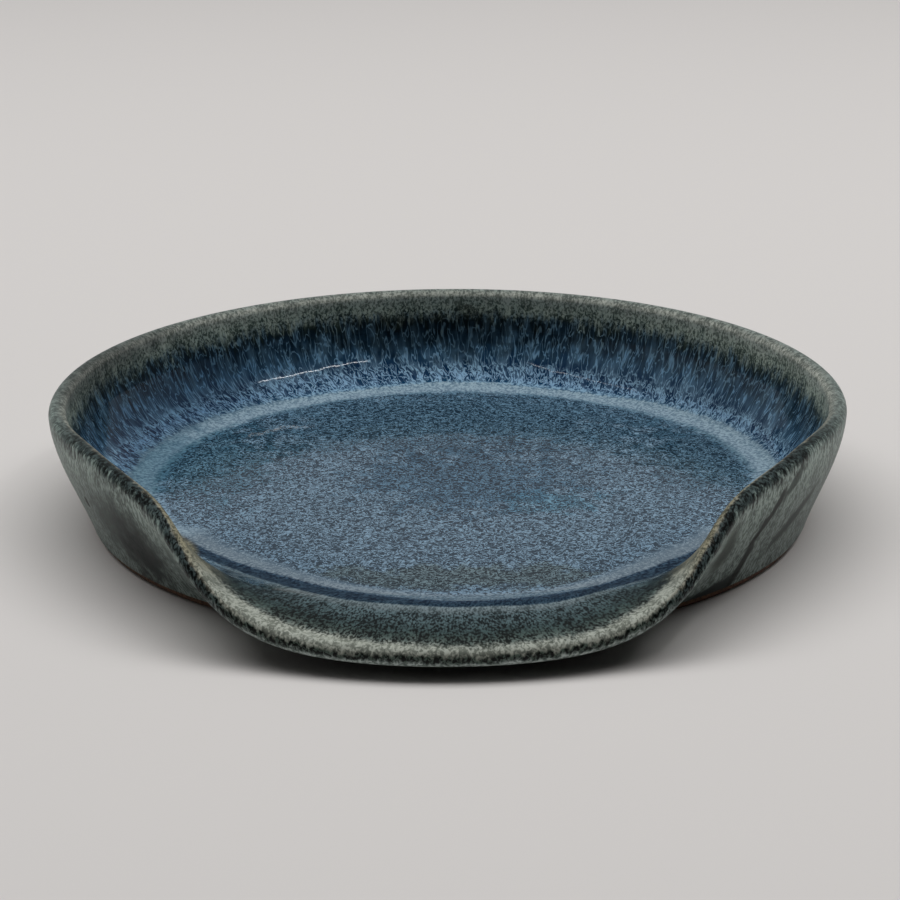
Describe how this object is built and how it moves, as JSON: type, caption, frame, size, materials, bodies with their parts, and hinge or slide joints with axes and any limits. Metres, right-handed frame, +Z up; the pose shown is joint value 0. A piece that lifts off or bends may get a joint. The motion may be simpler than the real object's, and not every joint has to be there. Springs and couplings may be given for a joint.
{
  "type": "spoon rest",
  "caption": "Round shallow stoneware spoon rest with its wall pressed out into a wide handle lip, blue liner glaze and grey-green rim glaze.",
  "frame": {"origin": "centre of the flat foot, on the surface that the dish stands on", "axes": "+Z up; -Y the front, where the pressed lip is; +X to the right seen from the front"},
  "size_m": [0.14, 0.1493, 0.0218],
  "materials": {
    "bare_stoneware": "unglazed, toasted, matte",
    "blue_glaze": "glossy, mottled, streaked up the wall",
    "grey_green_glaze": "satin, speckled, with darker runs"
  },
  "bodies": {
    "root": {"clay_body": "bare_stoneware", "liner_glaze": "blue_glaze", "rim_glaze": "grey_green_glaze"}
  },
  "joints": []
}
